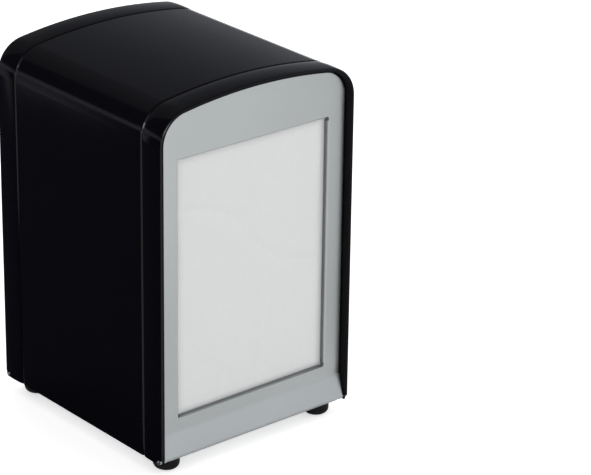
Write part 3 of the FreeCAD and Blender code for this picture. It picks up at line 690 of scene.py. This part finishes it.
for side in (-1, 1):
    choose("FACE", lambda point: side * point.x > flat_end - near and point.z > kick_z - bend_relief)
    bpy.ops.mesh.delete(type="FACE")
    choose("EDGE", lambda point: abs(point.x - side * strip_reach) < near and point.z < wing_top + near)
    pull(x=side * (wing_reach - strip_reach))
bpy.ops.object.mode_set(mode="OBJECT")


def join(pieces):
    """Joins pieces into the first one and merges the points that meet."""
    pick(*pieces)
    bpy.ops.object.join()
    bpy.ops.object.mode_set(mode="EDIT")
    merge()
    bpy.ops.object.mode_set(mode="OBJECT")


def box_cutter(low, high):
    """A closed block between two corners."""
    bpy.ops.object.select_all(action="DESELECT")
    bpy.ops.mesh.primitive_cube_add(size=1, location=(low + high) / 2, scale=high - low)
    bpy.ops.object.transform_apply(location=True, scale=True)
    return bpy.context.object


join([plate, strip])
bpy.ops.object.mode_set(mode="EDIT")
turn_outwards()
finish_with(plate, "SOLIDIFY", thickness=plate_gauge, offset=0, use_even_offset=True)

reliefs = []
relief_low = (window_low + relief_low_inward, relief_low_inward, relief_low_radius)
relief_high = (window_high - relief_high_inward, relief_high_inward, relief_high_radius)
for side in (-1, 1):
    for up, relief_inward, relief_radius in (relief_low, relief_high):
        bpy.ops.object.select_all(action="DESELECT")
        bpy.ops.mesh.primitive_cylinder_add(
            vertices=32,
            radius=relief_radius,
            depth=3 * window_flange,
            location=(side * (window_x - relief_inward), plate_middle, up),
            rotation=(math.pi / 2, 0, 0),
        )
        bpy.ops.object.transform_apply(location=True, rotation=True)
        reliefs.append(bpy.context.object)
join(reliefs)
cut_with(plate, reliefs[0])
under_slots = []
rear_slots = []
for spot in (-lug_place, lug_place):
    under_slots.append(box_cutter(
        Vector((spot - lug_slot_half, lug_slot_front, cutter_foot)),
        Vector((spot + lug_slot_half, hinge_y + curl_outside + cut_margin, hinge_z)),
    ))
    rear_slots.append(box_cutter(
        Vector((spot - lug_slot_half, hinge_y - curl_inside, hinge_z - cut_margin)),
        Vector((spot + lug_slot_half, hinge_y + curl_outside + cut_margin, lug_slot_top)),
    ))
for slots in (under_slots, rear_slots):
    join(slots)
    cut_with(plate, slots[0])
shade(plate)


def copy_of(piece, name, shift=(0, 0, 0), turn=0.0):
    """A copy with its own mesh, shifted and turned about the upright middle line."""
    pick(piece)
    bpy.ops.object.duplicate()
    copy = bpy.context.object
    copy.name = name
    copy.location = shift
    copy.rotation_euler.z = turn
    bpy.ops.object.transform_apply(location=True, rotation=True)
    return copy


half_round = math.pi
satin_dark = (0.456, 0.48, 0.4848, 1)
satin_light = (0.494, 0.52, 0.5252, 1)
satin_roughness = 0.34
# Painted shade on the plates: the satin colour falls to half behind the front face, on the return edges
# and the window's turned-in edge, fading in just behind the front.
return_painted_shade = 0.5
return_fade_start = 0.8 * MM
return_fade_end = 0.45 * MM
satin_material, satin_shader, add = new_material("satin_chrome", satin_roughness, metallic=1.0)
tone = between(add, clouds(add, scale=28.0, detail=3.0), satin_dark, satin_light)
place = add("ShaderNodeTexCoord").outputs["Object"]
place_parts = add("ShaderNodeSeparateXYZ", {"Vector": place})
from_middle = add("ShaderNodeMath", {0: place_parts.outputs["Y"]}, {"operation": "ABSOLUTE"})
painted_return_shade = add(
    "ShaderNodeMapRange",
    {"Value": from_middle.outputs["Value"]},
    From_Min=-plate_front - return_fade_start,
    From_Max=-plate_front - return_fade_end,
    To_Min=return_painted_shade,
)
plating_with_shade = add(
    "ShaderNodeVectorMath", {0: tone, "Scale": painted_return_shade.outputs["Result"]}, {"operation": "SCALE"}
)
wire(plating_with_shade.outputs["Vector"], satin_shader.inputs["Base Color"])
emboss(add, satin_shader, clouds(add, scale=1800.0, detail=2.0), strength=0.1, height=0.01 * MM)
plate.data.materials.append(satin_material)
rear_plate = copy_of(plate, "rear_plate_satin", turn=half_round)
for piece, body in ((plate, "front_face"), (rear_plate, "rear_face")):
    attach(piece, body)
    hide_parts(body + "_plate")

# Feet. Four soft rubber cones with a rounded sole and a pocket for the head of the rivet that
# holds each one under the pan.
foot_low, foot_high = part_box("foot_front_left")
foot_centre = (foot_low + foot_high) / 2
foot_top_radius = (foot_high.x - foot_low.x) / 2
foot_sole_radius = 5.4 * MM
foot_pocket_radius = 2.2 * MM
foot_pocket_depth = 3.4 * MM
foot_pocket_edge = 0.3 * MM
foot_hole_radius = 1.25 * MM
foot_edge = 2.3 * MM
foot_top = foot_high.z
foot_profile = [
    Vector((foot_sole_radius, 0, 0)),
    Vector((foot_top_radius, 0, foot_top)),
    Vector((foot_hole_radius, 0, foot_top)),
    Vector((foot_hole_radius, 0, foot_pocket_depth)),
    Vector((foot_pocket_radius, 0, foot_pocket_depth)),
    Vector((foot_pocket_radius, 0, 0)),
    Vector((foot_sole_radius, 0, 0)),
]
foot = point_mesh("foot_front_left_rubber", foot_profile[0])
draw(foot_profile)
merge()
round_points([foot_profile[0]], foot_edge, math.pi / 2, segments=8)
round_points([foot_profile[5]], foot_pocket_edge, math.pi / 2, segments=3)
bpy.ops.mesh.select_all(action="SELECT")
bpy.ops.mesh.spin(steps=56, angle=2 * math.pi, center=(0, 0, 0), axis=(0, 0, 1))
merge()
turn_outwards()
bpy.ops.transform.translate(value=(foot_centre.x, foot_centre.y, 0))
bpy.ops.object.mode_set(mode="OBJECT")
shade(foot)

rubber_colour = (0.007, 0.007, 0.008, 1)
rubber_material, rubber_shader, add = new_material(
    "foot_rubber", roughness=0.5, specular=0.12, colour=rubber_colour
)
pitting = clouds(add, scale=2400.0, detail=3.0)
emboss(add, rubber_shader, pitting, strength=0.3, height=0.04 * MM)
foot.data.materials.append(rubber_material)
feet = {"front_left": foot}
for corner in ("front_right", "rear_left", "rear_right"):
    low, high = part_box("foot_" + corner)
    feet[corner] = copy_of(foot, "foot_" + corner + "_rubber", shift=(low + high) / 2 - foot_centre)
for corner, piece in feet.items():
    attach(piece, "case")
    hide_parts("foot_" + corner)

# Base pan, centre partition and pushers. Bare galvanised sheet with its faint zinc spangle, pressed
# and folded; the pan carries the hinge lugs and the partition the tabs that hold the springs.
zinc_dark = (0.46, 0.47, 0.49, 1)
zinc_light = (0.62, 0.63, 0.65, 1)
zinc_roughness = (0.3, 0.5)
zinc_material, zinc_shader, add = new_material("zinc_sheet", metallic=1.0)
place = add("ShaderNodeTexCoord").outputs["Object"]
spangle = add("ShaderNodeTexVoronoi", {"Vector": place}, Scale=260.0)
zinc_tone = between(add, spangle.outputs["Color"], zinc_dark, zinc_light)
wire(zinc_tone, zinc_shader.inputs["Base Color"])
zinc_haze = add(
    "ShaderNodeMapRange",
    {"Value": spangle.outputs["Color"]},
    To_Min=zinc_roughness[0],
    To_Max=zinc_roughness[1],
)
wire(zinc_haze.outputs["Result"], zinc_shader.inputs["Roughness"])


def refinish(nodes, material):
    """Gives model pieces that stay as they are their finish."""
    for name in nodes:
        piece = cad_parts[name]
        piece.data.materials.clear()
        piece.data.materials.append(material)


refinish(["base_pan", "centre_partition", "front_pusher_plate", "rear_pusher_plate"], zinc_material)

# Rods, rivets and washers. Bright drawn and turned steel, plated, with fine lines along the draw. The
# rods sit in the pan's lugs, and the rivets hold the feet under it.
fastener_dark = (0.42, 0.42, 0.43, 1)
fastener_light = (0.6, 0.6, 0.61, 1)
fastener_material, fastener_shader, add = new_material("plated_steel", roughness=0.3, metallic=1.0)
drawn_lines = clouds(add, scale=3000.0, detail=2.0, stretch=(0.05, 1, 1))
fastener_tone = between(add, drawn_lines, fastener_dark, fastener_light)
wire(fastener_tone, fastener_shader.inputs["Base Color"])
refinish(["front_hinge_rod", "rear_hinge_rod", "foot_rivets", "foot_washers"], fastener_material)

# Pusher springs and latch springs. The pusher spring is one cone of round hard-drawn wire, flat at
# both ends; the latch is a leaf of blued strip. Both are oiled dark steel.
steel_dark = (0.2, 0.2, 0.22, 1)
steel_light = (0.36, 0.36, 0.38, 1)
steel_material, steel_shader, add = new_material("spring_steel", roughness=0.28, metallic=1.0)
steel_tone = between(add, clouds(add, scale=90.0, detail=4.0), steel_dark, steel_light)
wire(steel_tone, steel_shader.inputs["Base Color"])
refinish(["front_latch_spring", "rear_latch_spring"], steel_material)

wire_radius = 0.7 * MM
coil_large_radius = 30.0 * MM
coil_small_radius = 13.0 * MM
coil_turns = 5.5
coil_end_turns = 0.75
coil_points_per_turn = 36
spring_low, spring_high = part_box("front_pusher_spring")
coil_start_y = spring_high.y - wire_radius
coil_end_y = spring_low.y + wire_radius
plate_low, plate_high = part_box("front_pusher_plate")
coil_z = (plate_low.z + plate_high.z) / 2


def eased(share):
    """A share of a way, kept between nought and one, that starts and ends gently."""
    share = min(max(share, 0), 1)
    return share * share * (3 - 2 * share)


def coil_place(turn):
    """A point of the wire's middle line, from the partition to the pusher."""
    radius = coil_large_radius + (coil_small_radius - coil_large_radius) * turn / coil_turns
    climb = eased((turn - coil_end_turns) / (coil_turns - 2 * coil_end_turns))
    angle = 2 * math.pi * turn
    y = coil_start_y + (coil_end_y - coil_start_y) * climb
    return Vector((radius * math.cos(angle), y, coil_z + radius * math.sin(angle)))


coil_count = round(coil_turns * coil_points_per_turn)
coil_line = [coil_place(coil_turns * n / coil_count) for n in range(coil_count + 1)]
spring = point_mesh("front_coil_wire", coil_line[0])
draw(coil_line)
bpy.ops.object.mode_set(mode="OBJECT")
bpy.ops.object.convert(target="CURVE")
spring = bpy.context.object
spring.data.bevel_depth = wire_radius
spring.data.bevel_resolution = 3
spring.data.use_fill_caps = True
bpy.ops.object.convert(target="MESH")
spring = bpy.context.object
bpy.ops.object.mode_set(mode="EDIT")
merge()
bpy.ops.object.mode_set(mode="OBJECT")
spring.data.materials.append(steel_material)
shade(spring, degrees=50)
rear_spring = copy_of(spring, "rear_coil_wire", turn=half_round)
for piece, end, way in ((spring, "front", 1), (rear_spring, "rear", -1)):
    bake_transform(piece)
    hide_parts(end + "_pusher_spring")

# Napkins. Soft white tissue, each one folded over and over to the size of the case. One lies flat
# against the inside of the window, pressed a little into it by the spring, and the others stand
# packed behind it on the pan's rails.
paper_gauge = 0.12 * MM
fold_gap = 0.36 * MM
lead_gap = 0.45 * MM
lead_columns = 64
lead_rows = 84
lead_layers = 2
pack_columns = 18
pack_rows = 16
pack_layers = 4
pack_count = 24
stack_gap = 0.1 * MM
height_slack = (0.1, 0.6)
side_slack = (0.1, 0.5)
fold_edge = 0.1 * MM
napkin_seed = 7
swell = 0.6 * MM
swell_run = 3.2 * MM
swell_low_run = 1.4 * MM
wave = 0.2 * MM
wave_width = 31.0 * MM
wave_height = 52.0 * MM
crease = 0.5 * MM
crease_half = 1.7 * MM
crease_middle = 91.5 * MM
crease_rise = 19.0 * MM
crease_run = 17.0 * MM
fold_marks = [(-15.0 * MM, 0.12 * MM), (4.5 * MM, 0.2 * MM), (24.0 * MM, 0.15 * MM)]
fold_mark_half = 1.2 * MM
lead_low, lead_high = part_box("front_lead_napkin")
pack_low, pack_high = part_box("front_napkin_pack")


def folded_napkin(name, front_y, layers, gap, columns, rows, rng):
    """A napkin folded to and fro, standing upright, one fold beside the other."""
    low_z = lead_low.z + paper_gauge / 2
    high_z = lead_high.z - rng.uniform(*height_slack) * MM
    left_x = lead_low.x + rng.uniform(*side_slack) * MM
    right_x = lead_high.x - rng.uniform(*side_slack) * MM
    line = []
    for layer in range(layers):
        y = front_y + paper_gauge / 2 + layer * gap
        ends = [low_z, high_z] if layer % 2 == 0 else [high_z, low_z]
        for n in range(rows + 1):
            line.append(Vector((left_x, y, ends[0] + (ends[1] - ends[0]) * n / rows)))
    piece = point_mesh(name, line[0])
    draw(line)
    bpy.ops.mesh.select_all(action="SELECT")
    for n in range(columns):
        pull(x=(right_x - left_x) / columns)
    turn_outwards()
    finish_with(piece, "SOLIDIFY", thickness=paper_gauge, offset=0)
    return piece


def soften(piece):
    """Rounds a napkin's folds and edges."""
    finish_with(piece, "BEVEL", width=fold_edge, segments=2, limit_method="ANGLE")
    shade(piece, degrees=60)


def ridge(distance, half):
    """The height of a soft ridge at a distance from its middle."""
    return math.exp(-((distance / half) ** 2))


def press_into_window(piece):
    """Swells the front fold into the window, with its soft waves, fold marks and one long crease."""
    for point in piece.data.vertices:
        x, y, z = point.co
        if y > lead_low.y + paper_gauge + near:
            continue
        inside = eased((window_x - abs(x)) / swell_run)
        inside *= eased((z - window_low) / swell_low_run) * eased((window_high - z) / swell_run)
        out = swell + wave * math.sin(math.tau * x / wave_width) * math.sin(math.tau * z / wave_height)
        crease_z = crease_middle - crease_rise * math.tanh(x / crease_run)
        out -= crease * ridge(z - crease_z, crease_half)
        for place_x, height in fold_marks:
            out += height * ridge(x - place_x, fold_mark_half)
        point.co.y -= out * inside


paper_dark = (0.7, 0.703, 0.708, 1)
paper_light = (0.73, 0.733, 0.735, 1)
paper_material, paper_shader, add = new_material("napkin_paper", roughness=0.92, specular=0.12)
paper_tone = between(add, clouds(add, scale=420.0, detail=4.0), paper_dark, paper_light)
wire(paper_tone, paper_shader.inputs["Base Color"])
crepe = clouds(add, scale=2600.0, detail=3.0, stretch=(0.35, 1, 1))
emboss(add, paper_shader, crepe, strength=0.35, height=0.06 * MM)
rng = random.Random(napkin_seed)
lead = folded_napkin(
    "front_lead_tissue", lead_low.y, lead_layers, lead_gap, lead_columns, lead_rows, rng
)
press_into_window(lead)
soften(lead)
lead.data.materials.append(paper_material)
rear_lead = copy_of(lead, "rear_lead_tissue", turn=half_round)
for piece, end in ((lead, "front"), (rear_lead, "rear")):
    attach(piece, "case")
    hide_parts(end + "_lead_napkin")

stack = []
pitch = (pack_high.y - pack_low.y) / pack_count
for n in range(pack_count):
    front_y = pack_low.y + n * pitch + stack_gap
    tissue = folded_napkin("tissue", front_y, pack_layers, fold_gap, pack_columns, pack_rows, rng)
    soften(tissue)
    stack.append(tissue)
join(stack)
pack = stack[0]
pack.name = "front_pack_tissues"
pack.data.materials.clear()
pack.data.materials.append(paper_material)
rear_pack = copy_of(pack, "rear_pack_tissues", turn=half_round)
for piece, end, way in ((pack, "front", 1), (rear_pack, "rear", -1)):
    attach(piece, "case")
    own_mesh(piece)
    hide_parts(end + "_napkin_pack")
